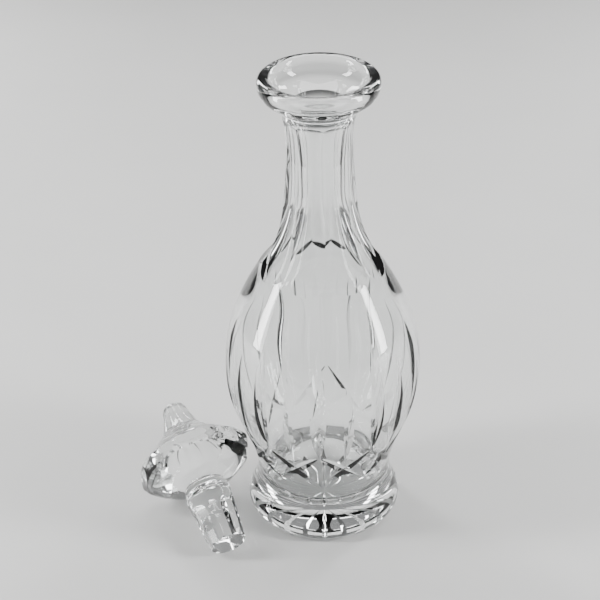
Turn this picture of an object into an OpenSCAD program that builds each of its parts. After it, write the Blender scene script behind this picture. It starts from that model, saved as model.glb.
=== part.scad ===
// Cut crystal wine decanter: a hollow bottle of one piece of glass and a loose solid stopper that lies beside it.
// The origin is the centre of the bottle's underside, +Z up, millimetres.

/* [Bottle] */
// Radius of the foot where it bulges most
foot_r = 45; // [44:0.5:46]
// Height of the lip above the table
bottle_h = 279; // [278:0.5:280]
// Thickness of the solid glass under the cavity
floor_h = 16.5; // [15:0.5:18]
// Thickness of the wall in the belly
wall = 4.7; // [4.2:0.1:5.2]

/* [Neck] */
// Number of flat panels around the neck
panel_count = 8; // [8:1:8]
// Azimuth of the first ridge between two panels
ridge_angle = 6; // [0:1:44]
// Radius of the straight throat below the stopper's seat
throat_r = 10.9; // [10.8:0.1:11.2]
// Height of the lower end of the stopper's seat
seat_z = 230; // [229:0.5:231]

/* [Cuts] */
// Number of long lancet cuts around the belly, with a short one between each two
lancet_count = 10; // [8:1:10]
// Azimuth of the first long lancet
lancet_angle = 15; // [0:1:35]
// Greatest depth of a long lancet
long_depth = 2.1; // [1:0.1:2.5]
// Greatest depth of a short lancet
short_depth = 1.4; // [0.8:0.1:1.8]
// Greatest depth of the crossing cuts above the foot
cross_depth = 1.5; // [1.3:0.1:1.7]
// Number of rays of the star under the foot
ray_count = 18; // [12:1:18]
// Depth of a ray at the foot's edge
ray_depth = 1.8; // [1:0.1:2.2]

/* [Stopper] */
// Radius of the peg at its free end
peg_end_r = 10.8; // [10.6:0.1:10.8]
// Radius of the peg at its widest, where it meets the top of the seat
peg_top_r = 13.9; // [13.8:0.1:13.9]
// Radius of the head at the corners between its rim's flats
head_r = 35; // [34.8:0.1:35.4]
// Number of flats around the peg, and around the rim of the head
flat_count = 8; // [8:1:8]
// Number of facets on top of the head, and of flutes around the finial
facet_count = 16; // [14:1:16]
// Azimuth that the finial points to as the stopper lies on the table
lie_azimuth = 113; // [105:1:120]
// Where the middle of the peg's end is, as the stopper lies on the table
peg_end_x = -55.9; // [-60:0.1:-50]
// Its place towards the front
peg_end_y = -55.5; // [-60:0.1:-50]

/* [Hidden] */
$fn = 96;
glass = [0.86, 0.92, 0.95, 0.55];
far = 90; // beyond every surface of a piece in its own axes

// Smooth curve through control points: each span of a Catmull-Rom spline is drawn with `steps` straight pieces.
function spline_point(a, b, c, d, t) =
    0.5 * (2 * b + (c - a) * t + (2 * a - 5 * b + 4 * c - d) * t * t + (3 * b - a - 3 * c + d) * t * t * t);
function spline(p, steps) = [
    for (i = [0 : len(p) - 2], k = [0 : steps - 1])
        spline_point(p[max(i - 1, 0)], p[i], p[i + 1], p[min(i + 2, len(p) - 1)], k / steps),
    p[len(p) - 1]
];

// Outer outline [radius, height] of the blank before it is cut, from the foot's edge up to the lip.
foot_edge_r = foot_r - 4.5;
blank_points = [
    [foot_edge_r, 0], [foot_r - 1, 3.6], [foot_r, 8], [43, 14.5], [40.3, 22], [39.4, 31],
    [41.3, 42], [46.2, 56], [51.3, 69], [54.9, 82], [56.3, 98], [55.2, 114], [51.3, 131],
    [44.6, 147], [36.9, 161], [32.5, 168.5], [28.9, 176], [25, 188], [22.4, 202], [20.8, 216],
    [20, 234], [20, 250], [20.4, 257]
];
lip_points = [
    [20.4, 257], [22.4, 261], [26.6, 264.6], [30.7, 267.8], [32.8, 271.6], [33.2, bottle_h - 4],
    [32.2, bottle_h - 1.2], [29.8, bottle_h], [27.4, bottle_h - 0.3], [26, bottle_h - 1.6]
];
// Inner outline from the lip down to the middle of the cavity's floor; the seat is a straight cone.
cup_points = [[26, bottle_h - 1.6], [25.3, 274], [23.4, 270], [19.4, 267], [peg_top_r + 0.15, 264.3]];
cavity_points = [
    [throat_r, 211], [throat_r + 0.4, 206], [13, 199], [16.4, 190], [20.8, 180.5], [26.6, 171],
    [33, 161], [44.6 - wall, 146], [51.3 - wall, 130], [55.2 - wall, 114], [56.3 - wall, 98],
    [54.9 - wall - 0.2, 82], [51.3 - wall - 0.2, 69], [46.2 - wall, 56], [41.3 - wall, 43],
    [34.8, 33], [33.9, 26.5], [30.6, 20.4], [25, floor_h]
];
blank_outline = spline(blank_points, 2);
cavity_outline = spline(cavity_points, 2);
bottle_outline = concat(
    [[0, 0]], blank_outline, spline(lip_points, 2), spline(cup_points, 2), [[throat_r, seat_z]],
    cavity_outline, [[0, floor_h]]
);

// Radius of the uncut blank at height z.
height_to_r = [for (p = blank_outline) [p[1], p[0]]];
function blank_r(z) = lookup(z, height_to_r);

// Distance of a neck panel from the axis [distance, height]: it leaves the glass on the shoulder in a tongue,
// and under the lip in a short scoop.
panel_points = [
    [40, 158.5], [35.8, 162.6], [30.1, 168.3], [25.6, 176], [22.6, 184], [20.2, 194], [18.5, 209],
    [17.3, 228], [17.2, 244], [17.9, 252.5], [19.3, 256], [22, 258.2]
];

// A cut that is flat across, and whose distance from the axis follows the points [distance, height].
module long_flat_cutter(points, width) {
    low = points[0][1];
    high = points[len(points) - 1][1];
    rotate([90, 0, 0])
        linear_extrude(width, center = true)
            polygon(concat([[far, low]], spline(points, 2), [[far, high]]));
}

// Centre of the circle through three points.
function ring_centre(a, b, c) =
    let (d = 2 * (a[0] * (b[1] - c[1]) + b[0] * (c[1] - a[1]) + c[0] * (a[1] - b[1])))
    [
        ((a * a) * (b[1] - c[1]) + (b * b) * (c[1] - a[1]) + (c * c) * (a[1] - b[1])) / d,
        ((a * a) * (c[0] - b[0]) + (b * b) * (a[0] - c[0]) + (c * c) * (b[0] - a[0])) / d
    ];

// A groove whose bottom is the arc through low, mid and high, [radius, height] in the plane of the axis.
// Its section is the child: x leads out of the glass from the bottom of the groove, and y lies across it.
module arc_groove(low, mid, high) {
    centre = ring_centre(low, mid, high);
    to_low = low - centre;
    to_high = high - centre;
    low_angle = atan2(to_low[1], to_low[0]);
    high_angle = atan2(to_high[1], to_high[0]);
    bulges = centre[0] < mid[0];
    start = bulges ? low_angle : high_angle;
    sweep = bulges ? high_angle - low_angle : (low_angle - high_angle + 360) % 360;
    translate([centre[0], 0, centre[1]])
        rotate([90, 0, 0])
            rotate([0, 0, start])
                rotate_extrude(angle = sweep)
                    translate([norm(to_low), 0])
                        mirror([bulges ? 0 : 1, 0])
                            children();
}

// Section of a V groove that is 2 * half_w wide where it is `depth` deep.
module v_section(half_w, depth) {
    polygon([[0, 0], [4 * depth, 4 * half_w], [4 * depth, -4 * half_w]]);
}

// A V groove that starts and ends at the belly's surface and is deepest at its middle.
module lancet_cutter(z_low, z_high, half_w, depth) {
    z_mid = (z_low + z_high) / 2;
    arc_groove([blank_r(z_low), z_low], [blank_r(z_mid) - depth, z_mid], [blank_r(z_high), z_high])
        v_section(half_w, depth);
}

// One of the crossing cuts between the lancets and the foot: a V groove with pointed ends that leans by `lean`
// from upright. It reaches the azimuths of the long cuts on both sides, `rise` above and below height z.
module cross_cutter(z, lean, half_w, depth) {
    rise = 12.5;
    reach = 19.2;
    drop = 0.16;
    climb = (blank_r(z + rise) - blank_r(z - rise)) * cos(180 / lancet_count);
    translate([blank_r(z) - depth, 0, z])
        rotate([0, atan2(climb, 2 * rise), 0])
            rotate([lean, 0, 0])
                arc_groove([-drop, -reach], [0, 0], [-drop, reach])
                    v_section(half_w, depth);
}

// A ray of the star under the foot: a V groove that starts near the centre and deepens outwards.
module ray_cutter() {
    inner_r = 3;
    run = foot_r + 4 - inner_r;
    tilt = atan2(ray_depth, foot_edge_r - inner_r);
    translate([inner_r, 0, 0])
        rotate([0, -tilt, 0])
            rotate([90, 0, 90])
                linear_extrude(run)
                    polygon([[0, 0], [4.4, -4], [-4.4, -4]]);
}

module bottle() {
    pitch = 360 / lancet_count;
    color(glass)
        difference() {
            rotate_extrude() polygon(bottle_outline);
            for (k = [0 : panel_count - 1])
                rotate([0, 0, ridge_angle + (k + 0.5) * 360 / panel_count]) long_flat_cutter(panel_points, 50);
            for (k = [0 : lancet_count - 1]) {
                rotate([0, 0, lancet_angle + k * pitch]) lancet_cutter(64, 137, 4.8, long_depth);
                rotate([0, 0, lancet_angle + (k + 0.5) * pitch]) lancet_cutter(56.5, 123.5, 3, short_depth);
                for (side = [-1, 1])
                    rotate([0, 0, lancet_angle + (k + 0.5) * pitch])
                        cross_cutter(51.5, side * 46.5, 3.2, cross_depth);
            }
            for (k = [0 : ray_count - 1])
                rotate([0, 0, 10 + k * 360 / ray_count]) ray_cutter();
        }
}

// Outline [radius, distance along the axis] of the uncut stopper from the peg's end to the finial's tip. The
// underside of the head and its rim meet in an edge.
collar_r = 12.1;
bevel = 0.6;
peg_top = 34;
rim = 58;
rim_edge = [31, 53.1];
underside_points = [
    [peg_top_r, peg_top], [peg_top_r - 0.2, 36], [collar_r, 41.5], [14.5, 43.6], [20.2, 46], [26, 49], rim_edge
];
head_points = [
    rim_edge, [33.6, 55], [head_r, rim], [34.1, 61.4], [29.2, 66], [23, 70.6], [17.8, 74.6], [13.8, 79],
    [10.8, 84.5], [8.9, 90], [7.7, 95], [6.6, 98], [4.2, 100], [0, 100.6]
];
stopper_outline = concat(
    [[0, 0], [peg_end_r - bevel, 0], [peg_end_r, bevel]], spline(underside_points, 2), spline(head_points, 2)
);

// A peg flat's distance from the axis [distance, height]: it starts past the peg's end and has a rounded top.
flat_end_r = peg_end_r - 0.8;
peg_flat_points = [
    [9.6, -4], [flat_end_r, 0], [11.25, 14], [12.5, 28], [12.95, 31], [13.5, 33], [14.4, 34.5]
];

// The stopper lies on the end of one of the peg's flats and on a corner of its rim, at rest [radius, height].
rest = [head_r - 2.19, 55];
lie_tilt = atan2(rest[0] - flat_end_r, rest[1]);
peg_end_z = flat_end_r * cos(lie_tilt);

// Lower and upper end [radius, height] of a flat of the rim and of a facet on top of the head.
rim_flat = [[31.2, 51], [34, 65]];
facet = [[35.8, 58], [16, 76]];

// A block outside the flat that runs between two points.
module flat_cutter(ends) {
    low = ends[0];
    high = ends[1];
    thickness = 12;
    width = 28;
    translate([low[0], 0, low[1]])
        rotate([0, atan2(high[0] - low[0], high[1] - low[1]), 0])
            translate([0, -width / 2, 0])
                cube([thickness, width, norm(high - low)]);
}

// A flute of the finial.
module flute_cutter() {
    round_r = 2.6;
    arc_groove([16, 76.4], [9.9, 84.8], [6.9, 97.4])
        translate([round_r, 0]) circle(round_r);
}

module stopper() {
    rim_flat_angle = 40;
    facet_angle = 10.5;
    color(glass)
        translate([peg_end_x, peg_end_y, peg_end_z])
            rotate([0, 90 - lie_tilt, lie_azimuth])
                difference() {
                    rotate_extrude() polygon(stopper_outline);
                    for (k = [0 : flat_count - 1]) {
                        rotate([0, 0, k * 360 / flat_count]) long_flat_cutter(peg_flat_points, 12);
                        rotate([0, 0, rim_flat_angle + k * 360 / flat_count]) flat_cutter(rim_flat);
                    }
                    for (k = [0 : facet_count - 1])
                        rotate([0, 0, facet_angle + k * 360 / facet_count]) {
                            flat_cutter(facet);
                            flute_cutter();
                        }
                }
}

bottle();
stopper();
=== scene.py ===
"""The looks of a cut crystal decanter and its loose stopper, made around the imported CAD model.

Each piece is one block of glass. A smooth blank is turned round its axis and the cuts are taken out of it.
Each face of the result then gets the normals of the true surface that it lies on, so that the glass refracts
as cut and polished glass does. Lengths are millimetres until a piece is finished, and metres from there on.
"""

import math

import bpy
import bmesh
import numpy as np
from mathutils import Matrix, Vector
from mathutils.kdtree import KDTree


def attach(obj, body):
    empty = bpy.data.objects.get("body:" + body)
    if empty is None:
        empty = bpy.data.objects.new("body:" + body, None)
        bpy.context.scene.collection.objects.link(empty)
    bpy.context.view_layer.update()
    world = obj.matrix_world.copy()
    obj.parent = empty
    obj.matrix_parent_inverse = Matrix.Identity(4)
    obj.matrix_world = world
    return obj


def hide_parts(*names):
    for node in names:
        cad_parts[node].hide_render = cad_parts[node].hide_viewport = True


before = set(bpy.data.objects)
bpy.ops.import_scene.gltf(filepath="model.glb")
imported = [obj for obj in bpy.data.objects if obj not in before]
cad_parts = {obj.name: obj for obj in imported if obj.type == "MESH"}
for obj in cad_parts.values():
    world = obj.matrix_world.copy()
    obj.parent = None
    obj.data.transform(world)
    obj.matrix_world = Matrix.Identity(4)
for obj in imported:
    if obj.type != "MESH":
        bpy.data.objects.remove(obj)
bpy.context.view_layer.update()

MM = 0.001

# Bottle: outlines are [radius, height].
FOOT_EDGE_R = 40.5
BOTTLE_H = 279.0
FLOOR_H = 16.5
WALL = 4.7
THROAT_R = 10.9
SEAT_Z = 230.0
PEG_TOP_R = 13.9
SEAT_TOP = [PEG_TOP_R + 0.15, 264.3]
BLANK = [
    [FOOT_EDGE_R, 0], [44, 3.6], [45, 8], [43, 14.5], [40.3, 22], [39.4, 31], [41.3, 42], [46.2, 56],
    [51.3, 69], [54.9, 82], [56.3, 98], [55.2, 114], [51.3, 131], [44.6, 147], [36.9, 161], [32.5, 168.5],
    [28.9, 176], [25, 188], [22.4, 202], [20.8, 216], [20, 234], [20, 250], [20.4, 257],
]
LIP = [
    [22.4, 261], [26.6, 264.6], [30.7, 267.8], [32.8, 271.6], [33.2, BOTTLE_H - 4], [32.2, BOTTLE_H - 1.2],
    [29.8, BOTTLE_H], [27.4, BOTTLE_H - 0.3], [26, BOTTLE_H - 1.6], [25.3, 274], [23.4, 270], [19.4, 267],
    SEAT_TOP,
]
CAVITY = [
    [THROAT_R, 211], [THROAT_R + 0.4, 206], [13, 199], [16.4, 190], [20.8, 180.5], [26.6, 171], [33, 161],
    [44.6 - WALL, 146], [51.3 - WALL, 130], [55.2 - WALL, 114], [56.3 - WALL, 98], [54.7 - WALL, 82],
    [51.1 - WALL, 69], [46.2 - WALL, 56], [41.3 - WALL, 43], [34.8, 33], [33.9, 26.5], [30.6, 20.4],
    [25, FLOOR_H],
]

# Bottle: cuts. Azimuths are degrees from +X, CROSS_LEAN is degrees from upright, and the panel's points are
# [distance from the axis, height].
PANEL_COUNT = 8
RIDGE_ANGLE = 6.0
PANEL = [
    [40, 158.5], [35.8, 162.6], [30.1, 168.3], [25.6, 176], [22.6, 184], [20.2, 194], [18.5, 209],
    [17.3, 228], [17.2, 244], [17.9, 252.5], [19.3, 256], [22, 258.2],
]
LANCET_COUNT = 10
LANCET_ANGLE = 15.0
LONG_LANCET = dict(low=64, high=137, half_w=4.8, depth=2.1)
SHORT_LANCET = dict(low=56.5, high=123.5, half_w=3.0, depth=1.4)
CROSS = dict(height=51.5, half_w=3.2, depth=1.5, rise=12.5, reach=19.2, drop=0.16)
CROSS_LEAN = 46.5
RAY_COUNT = 18
RAY_ANGLE = 10.0
RAY_INNER_R = 3.0
RAY_DEPTH = 1.8

# Stopper: outlines and flats are [radius, distance along the axis from the peg's end], and REST is the point
# of the head that lies on the table.
PEG_END_R = 10.8
BEVEL = 0.6
PEG_TOP = 34.0
HEAD_R = 35.0
REST = [HEAD_R - 2.19, 55]
RIM = 58.0
RIM_EDGE = [31, 53.1]
UNDERSIDE = [
    [PEG_TOP_R, PEG_TOP], [PEG_TOP_R - 0.2, 36], [12.1, 41.5], [14.5, 43.6], [20.2, 46], [26, 49], RIM_EDGE,
]
HEAD = [
    RIM_EDGE, [33.6, 55], [HEAD_R, RIM], [34.1, 61.4], [29.2, 66], [23, 70.6], [17.8, 74.6], [13.8, 79],
    [10.8, 84.5], [8.9, 90], [7.7, 95], [6.6, 98], [4.2, 100], [0, 100.6],
]
FLAT_END_R = PEG_END_R - 0.8
PEG_FLAT = [[9.6, -4], [FLAT_END_R, 0], [11.25, 14], [12.5, 28], [12.95, 31], [13.5, 33], [14.4, 34.5]]
PEG_FLAT_COUNT = 8
RIM_FLAT = [[31.2, 51], [34, 65]]
RIM_FLAT_ANGLE = 40.0
RIM_FLAT_COUNT = 8
FACET = [[35.8, 58], [16, 76]]
FACET_ANGLE = 10.5
FACET_COUNT = 16
FLUTE = dict(low=[16, 76.4], mid=[9.9, 84.8], high=[6.9, 97.4], round_r=2.6)

# Stopper: where the middle of its peg's end is, seen from above, and the azimuth of its axis from there.
PEG_END = (-55.9, -55.5)
LIE_AZIMUTH = 113.0


# Curves and places

def turn(axis, degrees):
    """A rotation about "X", "Y" or "Z"."""
    return np.array(Matrix.Rotation(math.radians(degrees), 4, axis))


def move(x, y, z):
    """A shift by x, y and z."""
    return np.array(Matrix.Translation((x, y, z)))


def through(points, place):
    """The points taken by a 4 by 4 matrix."""
    return points @ place[:3, :3].T + place[:3, 3]


def smooth_curve(points, spacing=0.2):
    """A natural cubic spline through the points, sampled about every `spacing`. Two points give a line."""
    p = np.array(points, float)
    reached = np.concatenate([[0], np.cumsum(np.linalg.norm(np.diff(p, axis=0), axis=1))])
    gap = np.diff(reached)
    system = np.eye(len(p))
    bend = np.zeros_like(p)
    for i in range(1, len(p) - 1):
        system[i, i - 1:i + 2] = gap[i - 1], 2 * (gap[i - 1] + gap[i]), gap[i]
        bend[i] = 6 * ((p[i + 1] - p[i]) / gap[i] - (p[i] - p[i - 1]) / gap[i - 1])
    bend = np.linalg.solve(system, bend)
    along = np.linspace(0, reached[-1], int(reached[-1] / spacing) + 2)
    i = np.clip(np.searchsorted(reached, along, "right") - 1, 0, len(p) - 2)
    b = ((along - reached[i]) / gap[i])[:, None]
    a = 1 - b
    span = (gap[i] ** 2)[:, None] / 6
    return a * p[i] + b * p[i + 1] + span * ((a**3 - a) * bend[i] + (b**3 - b) * bend[i + 1])


def thinned(curve, max_turn=4.0, max_step=3.2):
    """The curve's points that a mesh needs: no more than max_turn degrees and max_step apart."""
    step = np.diff(curve, axis=0)
    heading = np.unwrap(np.arctan2(step[:, 1], step[:, 0]))
    cost = np.linalg.norm(step, axis=1) / max_step
    cost[1:] += np.abs(np.diff(heading)) / math.radians(max_turn)
    total = np.concatenate([[0], np.cumsum(cost)])
    wanted = np.linspace(0, total[-1], math.ceil(total[-1]) + 1)
    return curve[np.searchsorted(total, wanted - 1e-9)]


def radius_at(curve, height):
    """The radius of a curve [radius, height] that rises all the way."""
    return np.interp(height, curve[:, 1], curve[:, 0])


def ring_centre(a, b, c):
    """Centre of the circle through three points of a plane."""
    a, b, c = (np.array(p, float) for p in (a, b, c))
    return a + np.linalg.solve(2 * np.array([b - a, c - a]), [(b - a) @ (b - a), (c - a) @ (c - a)])


# Meshes: each is (vertices, faces), in millimetres

def turned(profile, columns):
    """The solid that a profile [radius, height] sweeps round the Z axis.

    The profile starts and ends on the axis.
    """
    angle = np.arange(columns) * 2 * math.pi / columns
    round_axis = np.stack([np.cos(angle), np.sin(angle)], axis=1)
    rings = [np.column_stack([r * round_axis, np.full(columns, z)]) for r, z in profile[1:-1]]
    verts = np.vstack([[[0, 0, profile[0][1]]], *rings, [[0, 0, profile[-1][1]]]])
    near = np.arange(columns)
    far = (near + 1) % columns
    last = len(verts) - 1
    faces = [(0, 1 + b, 1 + a) for a, b in zip(near, far)]
    for low in range(1, last - columns, columns):
        high = low + columns
        faces += [(low + a, low + b, high + b, high + a) for a, b in zip(near, far)]
    faces += [(last - columns + a, last - columns + b, last) for a, b in zip(near, far)]
    return verts, faces


def lofted(rings):
    """The solid between rings of points, closed by its first and last ring."""
    count = len(rings[0])
    near = range(count)
    faces = [tuple(near), tuple(i + (len(rings) - 1) * count for i in near)]
    for low in range(0, (len(rings) - 1) * count, count):
        high = low + count
        faces += [(low + i, low + (i + 1) % count, high + (i + 1) % count, high + i) for i in near]
    return np.vstack(rings), faces


def mesh_object(name, verts, faces):
    """An object in the scene, with all of its faces turned outward."""
    mesh = bpy.data.meshes.new(name)
    mesh.from_pydata([tuple(v) for v in verts], [], faces)
    work = bmesh.new()
    work.from_mesh(mesh)
    bmesh.ops.recalc_face_normals(work, faces=work.faces)
    work.to_mesh(mesh)
    work.free()
    piece = bpy.data.objects.new(name, mesh)
    bpy.context.scene.collection.objects.link(piece)
    return piece


# Surfaces: each is (distance, normal), two functions of an array of points

def turned_surface(curve):
    """The surface that a curve [radius, height] sweeps round the Z axis. The glass is to the curve's left."""
    tangent = np.gradient(curve, axis=0)
    tangent /= np.linalg.norm(tangent, axis=1)[:, None]
    outward = np.column_stack([tangent[:, 1], -tangent[:, 0]])
    spacing = np.linalg.norm(curve[1] - curve[0])
    tree = KDTree(len(curve))
    for i, (r, z) in enumerate(curve):
        tree.insert((r, z, 0), i)
    tree.balance()

    def flattened(points):
        return np.column_stack([np.hypot(points[:, 0], points[:, 1]), points[:, 2]])

    def nearest(flat):
        return np.array([tree.find((r, z, 0))[1] for r, z in flat], int)

    def distance(points):
        reach = 0.5
        flat = flattened(points)
        close = np.all((flat > curve.min(axis=0) - reach) & (flat < curve.max(axis=0) + reach), axis=1)
        index = nearest(flat[close])
        off = flat[close] - curve[index]
        beyond = np.maximum(np.abs((off * tangent[index]).sum(1)) - spacing, 0)
        gap = np.full(len(points), np.inf)
        gap[close] = np.hypot((off * outward[index]).sum(1), beyond)
        return gap

    def normal(points):
        flat = flattened(points)
        index = nearest(flat)
        where = index + np.clip(((flat - curve[index]) * tangent[index]).sum(1) / spacing, -1, 1)
        steps = np.arange(len(curve))
        out_r, out_z = (np.interp(where, steps, outward[:, k]) for k in (0, 1))
        around = points[:, :2] / np.maximum(flat[:, :1], 1e-9)
        return np.column_stack([out_r[:, None] * around, out_z])

    return distance, normal


def cut_surface(wall, place):
    """The surface where `wall` is 0.

    wall takes points in the cut's own axes, and is positive outside the glass.
    """
    inverse = np.linalg.inv(place)
    step = 0.05

    def distance(points):
        return np.abs(wall(through(points, inverse)))

    def normal(points):
        own = through(points, inverse)
        slopes = [wall(own + axis) - wall(own - axis) for axis in step * np.eye(3)]
        return np.stack(slopes, axis=1) @ place[:3, :3].T

    return distance, normal


# Cuts: each is (mesh, walls) in the cut's own axes

def arc_groove(low, mid, high, section, walls, steps=24):
    """A groove whose bottom is the arc through three points [radius, height].

    section is the groove's outline [distance out of the glass, distance across]. Each wall is a function of
    those same two distances.
    """
    centre = ring_centre(low, mid, high)
    bottom_r = np.linalg.norm(np.array(low) - centre)
    side = 1 if centre[0] < mid[0] else -1
    turned_away = 0 if side > 0 else math.pi
    reach = bottom_r + side * section[:, 0]

    def angle_of(point):
        return turned_away + math.atan2(side * (point[1] - centre[1]), side * (point[0] - centre[0]))

    rings = [
        np.column_stack([
            centre[0] + reach * math.cos(angle), section[:, 1], centre[1] + reach * math.sin(angle),
        ])
        for angle in np.linspace(angle_of(low), angle_of(high), steps + 1)
    ]

    def from_bottom(wall):
        return lambda p: wall(side * (np.hypot(p[:, 0] - centre[0], p[:, 2] - centre[1]) - bottom_r), p[:, 1])

    return lofted(rings), [from_bottom(wall) for wall in walls]


def v_groove(low, mid, high, half_w, depth, open_to=2.0):
    """An arc groove with a V section that is 2 * half_w wide where it is `depth` deep.

    open_to is how far out from its bottom the cutter reaches, as a multiple of that depth.
    """
    section = open_to * np.array([[0, 0], [depth, half_w], [depth, -half_w]])
    size = math.hypot(half_w, depth)
    walls = [lambda out, across, s=s: (half_w * out - s * depth * across) / size for s in (-1, 1)]
    return arc_groove(low, mid, high, section, walls)


def flat_cut(low, high):
    """A flat between two points [radius, height]."""
    thickness, half_w = 12.0, 14.0
    low, high = (np.array([p[0], 0, p[1]]) for p in (low, high))
    along = (high - low) / np.linalg.norm(high - low)
    normal = np.array([along[2], 0, -along[0]])
    across = np.array([0, half_w, 0])
    foot = np.array([low - across, low + across, high + across, high - across])
    return lofted([foot, foot + thickness * normal]), [lambda p: (p - low) @ normal]


def long_flat_cut(points, half_w, far):
    """A cut that is flat across, and whose distance from the axis follows a curve [distance, height]."""
    curve = smooth_curve(points)
    rings = [
        np.array([[a, -half_w, z], [far, -half_w, z], [far, half_w, z], [a, half_w, z]])
        for a, z in thinned(curve, max_step=4)
    ]
    slope = np.gradient(curve[:, 0], curve[:, 1])

    def wall(p):
        steep = np.interp(p[:, 2], curve[:, 1], slope)
        return (p[:, 0] - radius_at(curve, p[:, 2])) / np.sqrt(1 + steep**2)

    return lofted(rings), [wall]


def lancet_cut(outline, low, high, half_w, depth):
    """A pointed V groove up the belly."""
    mid = (low + high) / 2
    bottom = [[radius_at(outline, z) - deep, z] for z, deep in ((low, 0), (mid, depth), (high, 0))]
    return v_groove(*bottom, half_w, depth)


def cross_cut(outline, lean, height, half_w, depth, rise, reach, drop):
    """One arm of a cross above the foot, in its own axes, and the matrix that takes it to the bottle's.

    Its ends are at about the azimuths of the long lancets on both sides, `rise` above and below its middle.
    Its bottom is `drop` further in there.
    """
    aside = math.cos(math.pi / LANCET_COUNT)
    climb = aside * (radius_at(outline, height + rise) - radius_at(outline, height - rise))
    upright = math.degrees(math.atan2(climb, 2 * rise))
    place = move(radius_at(outline, height) - depth, 0, height) @ turn("Y", upright) @ turn("X", lean)
    return v_groove([-drop, -reach], [0, 0], [-drop, reach], half_w, depth, open_to=3.0), place


def ray_cut():
    """A ray of the star under the foot: a V groove that deepens outwards and runs out of the foot's edge."""
    slope = RAY_DEPTH / (FOOT_EDGE_R - RAY_INNER_R)
    spread, below, outer_r = 1.1, 0.5, 50.0
    rings = []
    for r in (RAY_INNER_R, outer_r):
        top = slope * (r - RAY_INNER_R)
        half_w = spread * (top + below)
        rings.append(np.array([[r, 0, top], [r, half_w, -below], [r, -half_w, -below]]))

    def wall(side):
        def outside(p):
            under_ridge = slope * (p[:, 0] - RAY_INNER_R) - p[:, 2]
            return (spread * under_ridge - side * p[:, 1]) / math.hypot(1, spread)

        return outside

    return lofted(rings), [wall(-1), wall(1)]


def flute_cut(low, mid, high, round_r):
    """A round-bottomed flute of the finial."""
    angle = np.radians(np.arange(0, 360, 10))
    section = round_r * np.column_stack([1 - np.cos(angle), np.sin(angle)])
    walls = [lambda out, across: round_r - np.hypot(out - round_r, across)]
    return arc_groove(low, mid, high, section, walls)


# Cutting

def around(count, first, cut, place=np.eye(4)):
    """The cut repeated round the Z axis: a list of (mesh, walls, matrix)."""
    return [(*cut, turn("Z", first + k * 360 / count) @ place) for k in range(count)]


def in_rounds(rounds, count, first, cut):
    """The cut repeated round the Z axis, dealt out over `rounds` groups so that no two of a group touch."""
    return [around(count // rounds, first + k * 360 / count, cut) for k in range(rounds)]


def carve(blank, cuts):
    """Takes the cuts, which don't touch each other, out of the blank."""
    verts, faces, base = [], [], 0
    for (points, loops), _, place in cuts:
        verts.append(through(points, place))
        faces += [tuple(base + i for i in loop) for loop in loops]
        base += len(points)
    cutter = mesh_object("cutter", np.vstack(verts), faces)
    cutting = blank.modifiers.new("cutting", "BOOLEAN")
    cutting.operation = "DIFFERENCE"
    cutting.solver = "MANIFOLD"
    cutting.object = cutter
    carved = bpy.data.meshes.new_from_object(blank.evaluated_get(bpy.context.evaluated_depsgraph_get()))
    blank.modifiers.clear()
    uncut = blank.data
    blank.data = carved
    bpy.data.meshes.remove(uncut)
    bpy.data.meshes.remove(cutter.data)


def polish(piece, surfaces):
    """Gives each face's corners the normals of the surface that the face lies on.

    A face that lies on none within the tolerance keeps its own flat normal.
    """
    mesh = piece.data
    tolerance, least_fit = 0.06, 0.5
    points = np.array([v.co for v in mesh.vertices])
    centres = np.array([face.center for face in mesh.polygons])
    facing = np.array([face.normal for face in mesh.polygons])
    choice = np.full(len(centres), -1)
    best = np.full(len(centres), least_fit)
    for k, (distance, normal) in enumerate(surfaces):
        near = np.flatnonzero(distance(centres) < tolerance)
        out = normal(centres[near])
        fit = (out * facing[near]).sum(1) / np.linalg.norm(out, axis=1)
        better = fit > best[near]
        choice[near[better]] = k
        best[near[better]] = fit[better]
    face_size = [face.loop_total for face in mesh.polygons]
    corner_choice = np.repeat(choice, face_size)
    corner_normal = np.repeat(facing, face_size, axis=0)
    corner_point = points[[loop.vertex_index for loop in mesh.loops]]
    for k, (_, normal) in enumerate(surfaces):
        mine = corner_choice == k
        corner_normal[mine] = normal(corner_point[mine])
    corner_normal /= np.linalg.norm(corner_normal, axis=1)[:, None]
    mesh.shade_smooth()
    mesh.normals_split_custom_set(corner_normal.tolist())


def cut_glass(name, runs, groups, columns):
    """A piece turned from the runs of its outline, with each group of cuts taken out of it in turn."""
    curves = [smooth_curve(run) for run in runs]
    profile = np.vstack([thinned(curve)[:-1] for curve in curves] + [curves[-1][-1:]])
    piece = mesh_object(name, *turned(profile, columns))
    for cuts in groups:
        carve(piece, cuts)
    surfaces = [turned_surface(curve) for curve in curves]
    for cuts in groups:
        surfaces += [cut_surface(wall, place) for _, walls, place in cuts for wall in walls]
    polish(piece, surfaces)
    piece.data.transform(Matrix.Scale(MM, 4))
    piece.data.materials.clear()
    return piece


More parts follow.
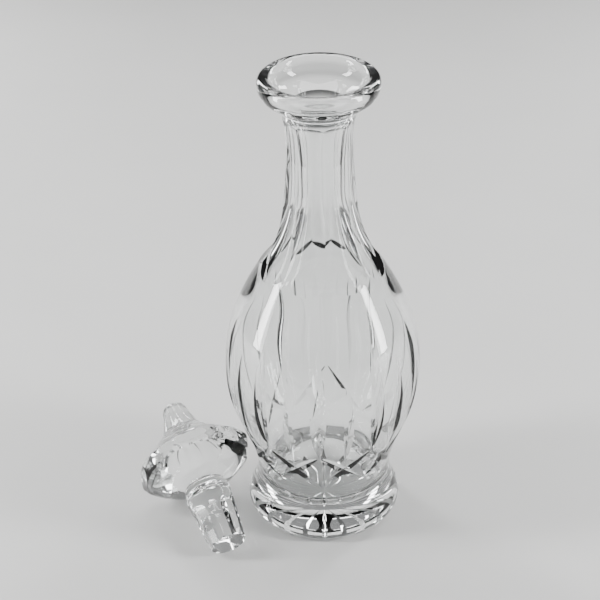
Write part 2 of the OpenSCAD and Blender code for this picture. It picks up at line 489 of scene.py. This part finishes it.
def make_bottle():
    """The bottle, standing on the table."""
    outline = smooth_curve(BLANK)
    runs = [
        [[0, 0], [FOOT_EDGE_R, 0]], BLANK + LIP, [SEAT_TOP, [THROAT_R, SEAT_Z]],
        [[THROAT_R, SEAT_Z], [THROAT_R, CAVITY[0][1]]], CAVITY, [CAVITY[-1], [0, FLOOR_H]],
    ]
    first_panel = RIDGE_ANGLE + 180 / PANEL_COUNT
    between_lancets = LANCET_ANGLE + 180 / LANCET_COUNT
    groups = [
        *in_rounds(2, PANEL_COUNT, first_panel, long_flat_cut(PANEL, half_w=13.0, far=60.0)),
        around(LANCET_COUNT, LANCET_ANGLE, lancet_cut(outline, **LONG_LANCET)),
        around(LANCET_COUNT, between_lancets, lancet_cut(outline, **SHORT_LANCET)),
        *in_rounds(2, RAY_COUNT, RAY_ANGLE, ray_cut()),
    ]
    for side in (-1, 1):
        cut, place = cross_cut(outline, side * CROSS_LEAN, **CROSS)
        groups.append(around(LANCET_COUNT, between_lancets, cut, place))
    return cut_glass("bottle_glass", runs, groups, columns=180)


def make_stopper():
    """The stopper, lying on the table on its peg's end and the rim of its head."""
    runs = [
        [[0, 0], [PEG_END_R - BEVEL, 0]], [[PEG_END_R - BEVEL, 0], [PEG_END_R, BEVEL]],
        [[PEG_END_R, BEVEL], UNDERSIDE[0]], UNDERSIDE, HEAD,
    ]
    groups = [
        *in_rounds(4, PEG_FLAT_COUNT, 0, long_flat_cut(PEG_FLAT, half_w=6.0, far=20.0)),
        *in_rounds(4, RIM_FLAT_COUNT, RIM_FLAT_ANGLE, flat_cut(*RIM_FLAT)),
        *in_rounds(4, FACET_COUNT, FACET_ANGLE, flat_cut(*FACET)),
        *in_rounds(4, FACET_COUNT, FACET_ANGLE, flute_cut(**FLUTE)),
    ]
    stopper = cut_glass("stopper_glass", runs, groups, columns=144)
    lie_tilt = math.degrees(math.atan2(REST[0] - FLAT_END_R, REST[1]))
    peg_end_z = FLAT_END_R * math.cos(math.radians(lie_tilt))
    peg_end = move(PEG_END[0] * MM, PEG_END[1] * MM, peg_end_z * MM)
    stopper.data.transform(Matrix(peg_end @ turn("Z", LIE_AZIMUTH) @ turn("Y", 90 - lie_tilt)))
    return stopper


# Materials

def node_tools(tree):
    """Two functions for a tree: one adds a node with its inputs and properties set by name, and one links."""

    def add(kind, **values):
        node = tree.nodes.new(kind)
        for key, value in values.items():
            if key in node.inputs:
                node.inputs[key].default_value = value
            else:
                setattr(node, key, value)
        return node

    return add, tree.links.new


def new_material(name):
    """A material with nodes: returns it, its Principled shader, and functions that add a node and a link."""
    material = bpy.data.materials.new(name)
    material.use_nodes = True
    return material, material.node_tree.nodes["Principled BSDF"], *node_tools(material.node_tree)


def crystal(name):
    """Clear, polished crystal glass, with the faint waviness and haze that polishing leaves."""
    material, shader, add, link = new_material(name)
    shader.inputs["Transmission Weight"].default_value = 1.0
    shader.inputs["IOR"].default_value = 1.545
    place = add("ShaderNodeTexCoord")

    haze = add("ShaderNodeTexNoise", Scale=55.0, Detail=4.0, Roughness=0.6)
    link(place.outputs["Object"], haze.inputs["Vector"])
    haze_range = {"From Min": 0.45, "From Max": 0.8, "To Min": 0.0, "To Max": 0.015}
    roughness = add("ShaderNodeMapRange", **haze_range)
    link(haze.outputs["Fac"], roughness.inputs["Value"])
    link(roughness.outputs["Result"], shader.inputs["Roughness"])

    tint = add("ShaderNodeMix", data_type="RGBA", A=(0.995, 1.0, 1.0, 1), B=(0.975, 0.99, 0.985, 1))
    link(haze.outputs["Fac"], tint.inputs["Factor"])
    link(tint.outputs["Result"], shader.inputs["Base Color"])

    wave = add("ShaderNodeTexNoise", Scale=28.0, Detail=1.0)
    link(place.outputs["Object"], wave.inputs["Vector"])
    bump = add("ShaderNodeBump", Strength=0.05, Distance=0.0004)
    link(wave.outputs["Fac"], bump.inputs["Height"])
    link(bump.outputs["Normal"], shader.inputs["Normal"])
    return material


def pale_floor():
    """A plain pale sweep with the faint mottling of paper."""
    material, shader, add, link = new_material("pale_floor")
    place = add("ShaderNodeTexCoord")
    mottle = add("ShaderNodeTexNoise", Scale=9.0, Detail=3.0)
    link(place.outputs["Object"], mottle.inputs["Vector"])
    tone = add("ShaderNodeMix", data_type="RGBA", A=(0.40, 0.40, 0.395, 1), B=(0.44, 0.44, 0.435, 1))
    link(mottle.outputs["Fac"], tone.inputs["Factor"])
    link(tone.outputs["Result"], shader.inputs["Base Color"])
    shader.inputs["Roughness"].default_value = 0.85
    return material


# Studio

def make_floor():
    """The table, a hair below the glass, so that no two surfaces are in one place."""
    size, air_gap = 20.0, 0.0002
    bpy.ops.mesh.primitive_plane_add(size=size, location=(0, 0, -air_gap))
    floor = bpy.context.active_object
    floor.name = "floor"
    floor.data.materials.append(pale_floor())


def softbox(name, place, target, width, height, watts):
    """A soft rectangular light at `place` that faces `target`."""
    light = bpy.data.lights.new(name, "AREA")
    light.shape = "RECTANGLE"
    light.size = width
    light.size_y = height
    light.energy = watts
    box = bpy.data.objects.new(name, light)
    bpy.context.scene.collection.objects.link(box)
    box.location = place
    box.rotation_euler = (Vector(target) - Vector(place)).to_track_quat("-Z", "Y").to_euler()


def make_lights():
    """Strips at the sides and behind and a box overhead, all facing the middle of the bottle."""
    middle = (0, 0, 0.13)
    for name, place, width, height, watts in (
        ("left_strip", (-0.8, -0.1, 0.45), 0.16, 0.9, 17),
        ("right_strip", (0.8, -0.2, 0.45), 0.16, 0.9, 17),
        ("back_left_strip", (-0.55, 0.75, 0.5), 0.12, 0.8, 9),
        ("back_right_strip", (0.6, 0.7, 0.5), 0.12, 0.8, 9),
        ("top_box", (0, 0.45, 1.2), 0.8, 0.5, 7),
    ):
        softbox(name, place, middle, width, height, watts)


def make_world():
    """A studio that is darker at the horizon than overhead, so that the cuts in the glass stand out."""
    world = bpy.data.worlds.new("studio")
    bpy.context.scene.world = world
    world.use_nodes = True
    background = world.node_tree.nodes["Background"]
    add, link = node_tools(world.node_tree)
    place = add("ShaderNodeTexCoord")
    split = add("ShaderNodeSeparateXYZ")
    link(place.outputs["Generated"], split.inputs["Vector"])
    height_range = {"From Min": 0.1, "From Max": 0.95, "To Min": 0.14, "To Max": 0.36}
    glow = add("ShaderNodeMapRange", interpolation_type="SMOOTHSTEP", **height_range)
    link(split.outputs["Z"], glow.inputs["Value"])
    link(glow.outputs["Result"], background.inputs["Strength"])
    background.inputs["Color"].default_value = (0.98, 0.99, 1.0, 1)


def make_camera():
    """The camera of the photograph's view: a long lens, looking down at the decanter."""
    eye = (0, -0.8696, 0.6673)
    pitch, yaw, roll = (math.radians(degrees) for degrees in (31.22, -0.81, -1.18))
    ahead = Vector((math.sin(yaw) * math.cos(pitch), math.cos(yaw) * math.cos(pitch), -math.sin(pitch)))
    level = Vector((math.cos(yaw), -math.sin(yaw), 0))
    upright = level.cross(ahead)
    right = math.cos(roll) * level + math.sin(roll) * upright
    up = math.cos(roll) * upright - math.sin(roll) * level
    data = bpy.data.cameras.new("camera")
    data.lens = 107.3
    data.sensor_width = 36.0
    camera = bpy.data.objects.new("camera", data)
    bpy.context.scene.collection.objects.link(camera)
    turned_to = Matrix((right, up, -ahead)).transposed().to_4x4()
    camera.matrix_world = Matrix.Translation(eye) @ turned_to
    bpy.context.scene.camera = camera


make_camera()
bottle = make_bottle()
bottle.data.materials.append(crystal("bottle_crystal"))
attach(bottle, "bottle")
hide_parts("bottle")
stopper = make_stopper()
stopper.data.materials.append(crystal("stopper_crystal"))
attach(stopper, "stopper")
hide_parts("stopper")
make_floor()
make_lights()
make_world()

bpy.context.view_layer.update()
